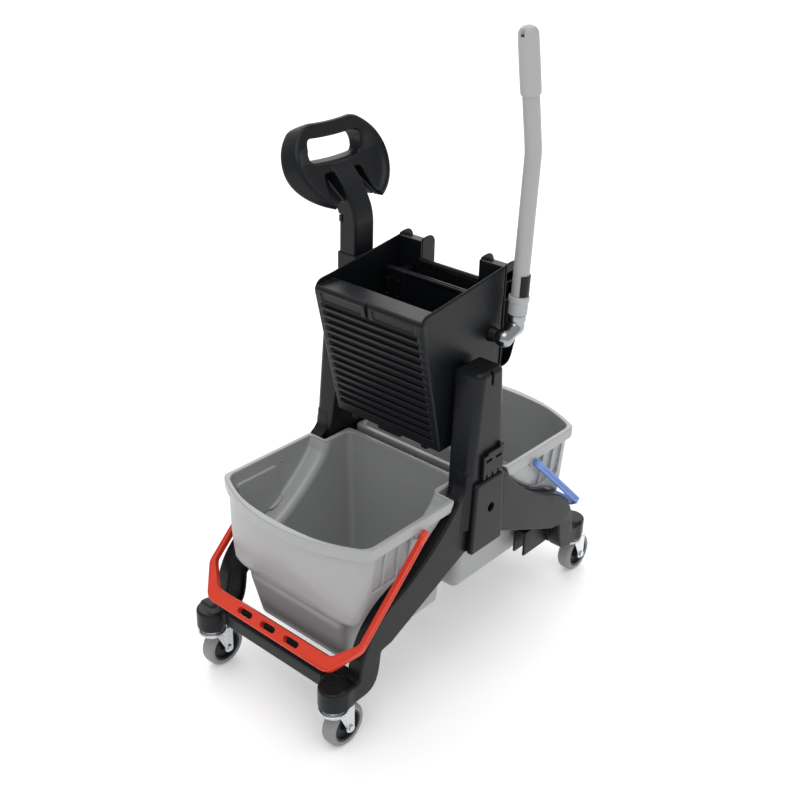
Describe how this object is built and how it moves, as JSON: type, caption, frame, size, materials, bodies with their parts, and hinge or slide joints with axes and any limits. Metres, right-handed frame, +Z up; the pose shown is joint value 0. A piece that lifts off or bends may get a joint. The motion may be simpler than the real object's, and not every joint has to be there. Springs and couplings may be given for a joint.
{
  "type": "double mop bucket trolley",
  "caption": "Mop trolley with two grey lift-out buckets on a black castor chassis, a lever wringer between two towers and a push handle.",
  "frame": {"origin": "on the floor, midway between the four castor posts", "axes": "+X along the trolley towards the rear bucket with the blue bail, +Y across it towards the push handle, +Z up"},
  "size_m": [0.778, 0.4475, 1.1253],
  "materials": {
    "black_plastic": "satin",
    "bucket_grey": "semi-gloss",
    "bail_red": "semi-gloss",
    "bail_blue": "semi-gloss",
    "zinc_steel": "bright zinc",
    "cast_metal": "bright",
    "tube_paint": "satin",
    "grip_grey": "satin",
    "bush_black": "satin",
    "hub_black": "satin",
    "tyre_grey": "matte"
  },
  "bodies": {
    "chassis": {"side_rail_right": "black_plastic", "side_rail_left": "black_plastic", "front_beam": "black_plastic", "rear_beam": "black_plastic", "centre_spine": "black_plastic", "tower_right": "black_plastic", "tower_left": "black_plastic", "lower_cover_right": "black_plastic", "lower_cover_left": "black_plastic", "clip_bracket_right": "black_plastic", "clip_bracket_left": "black_plastic", "handle_sleeve": "black_plastic", "push_handle": "black_plastic", "castor_stems": "zinc_steel"},
    "catch": {"handle_catch": "black_plastic"},
    "wringer": {"wringer_hopper": "black_plastic", "drain_grid": "black_plastic", "wringer_back": "black_plastic", "gear_cover_right": "black_plastic", "gear_cover_left": "black_plastic", "shaft_bush_right": "bush_black", "shaft_bush_left": "bush_black", "hanger_lugs": "black_plastic"},
    "press": {"press_plate": "black_plastic", "rack_right": "black_plastic", "rack_left": "black_plastic", "rack_screws": "zinc_steel"},
    "lever": {"drive_shaft": "zinc_steel", "drive_sector_right": "zinc_steel", "drive_sector_left": "zinc_steel", "lever_elbow": "cast_metal", "lever_pin": "zinc_steel", "lever_sleeve": "tube_paint", "lever_tube": "tube_paint", "tube_clip": "black_plastic", "lever_grip": "grip_grey"},
    "front_bucket_body": {"front_bucket": "bucket_grey", "front_bail_pins": "bucket_grey"},
    "front_bail_body": {"front_bail": "bail_red"},
    "rear_bucket_body": {"rear_bucket": "bucket_grey", "rear_bail_pins": "bucket_grey"},
    "rear_bail_body": {"rear_bail": "bail_blue"},
    "castor_front_right": {"castor_fork_front_right": "zinc_steel", "castor_axle_front_right": "zinc_steel"},
    "wheel_front_right": {"wheel_hub_front_right": "hub_black", "tyre_front_right": "tyre_grey"},
    "castor_front_left": {"castor_fork_front_left": "zinc_steel", "castor_axle_front_left": "zinc_steel"},
    "wheel_front_left": {"wheel_hub_front_left": "hub_black", "tyre_front_left": "tyre_grey"},
    "castor_rear_right": {"castor_fork_rear_right": "zinc_steel", "castor_axle_rear_right": "zinc_steel"},
    "wheel_rear_right": {"wheel_hub_rear_right": "hub_black", "tyre_rear_right": "tyre_grey"},
    "castor_rear_left": {"castor_fork_rear_left": "zinc_steel", "castor_axle_rear_left": "zinc_steel"},
    "wheel_rear_left": {"wheel_hub_rear_left": "hub_black", "tyre_rear_left": "tyre_grey"}
  },
  "joints": [
    {"name": "catch_press", "type": "slide", "parent": "chassis", "child": "catch", "axis": [1, 0, 0], "range_m": [0, 0.0025], "stiffness_N_per_m": 200},
    {"name": "wringer_lift", "type": "slide", "parent": "chassis", "child": "wringer", "axis": [0, 0, 1], "range_m": [0, 0.06]},
    {"name": "lever_swing", "type": "hinge", "parent": "wringer", "child": "lever", "pos_m": [0.074, 0, 0.613], "axis": [0, -1, 0], "range_deg": [0, 80]},
    {"name": "press_slide", "type": "slide", "parent": "wringer", "child": "press", "axis": [-1, 0, 0], "range_m": [0, 0.0629]},
    {"name": "front_bucket_lift", "type": "slide", "parent": "chassis", "child": "front_bucket_body", "axis": [-0.6428, 0, 0.766], "range_m": [0, 0.15]},
    {"name": "front_bail_swing", "type": "hinge", "parent": "front_bucket_body", "child": "front_bail_body", "pos_m": [-0.16, 0, 0.346], "axis": [0, 1, 0], "range_deg": [0, 130]},
    {"name": "rear_bucket_lift", "type": "slide", "parent": "chassis", "child": "rear_bucket_body", "axis": [0.6428, 0, 0.766], "range_m": [0, 0.15]},
    {"name": "rear_bail_swing", "type": "hinge", "parent": "rear_bucket_body", "child": "rear_bail_body", "pos_m": [0.16, 0, 0.346], "axis": [0, -1, 0], "range_deg": [0, 130]},
    {"name": "swivel_front_right", "type": "hinge", "parent": "chassis", "child": "castor_front_right", "pos_m": [-0.345, -0.151, 0.085], "axis": [0, 0, 1], "continuous": true},
    {"name": "roll_front_right", "type": "hinge", "parent": "castor_front_right", "child": "wheel_front_right", "pos_m": [-0.3235, -0.151, 0.04], "axis": [0, 1, 0], "continuous": true},
    {"name": "swivel_front_left", "type": "hinge", "parent": "chassis", "child": "castor_front_left", "pos_m": [-0.345, 0.151, 0.085], "axis": [0, 0, 1], "continuous": true},
    {"name": "roll_front_left", "type": "hinge", "parent": "castor_front_left", "child": "wheel_front_left", "pos_m": [-0.3235, 0.151, 0.04], "axis": [0, 1, 0], "continuous": true},
    {"name": "swivel_rear_right", "type": "hinge", "parent": "chassis", "child": "castor_rear_right", "pos_m": [0.345, -0.151, 0.085], "axis": [0, 0, 1], "continuous": true},
    {"name": "roll_rear_right", "type": "hinge", "parent": "castor_rear_right", "child": "wheel_rear_right", "pos_m": [0.3665, -0.151, 0.04], "axis": [0, 1, 0], "continuous": true},
    {"name": "swivel_rear_left", "type": "hinge", "parent": "chassis", "child": "castor_rear_left", "pos_m": [0.345, 0.151, 0.085], "axis": [0, 0, 1], "continuous": true},
    {"name": "roll_rear_left", "type": "hinge", "parent": "castor_rear_left", "child": "wheel_rear_left", "pos_m": [0.3665, 0.151, 0.04], "axis": [0, 1, 0], "continuous": true}
  ],
  "couplings": [
    {"joint": "press_slide", "follows": "lever_swing", "m_per_rad": 0.045}
  ]
}
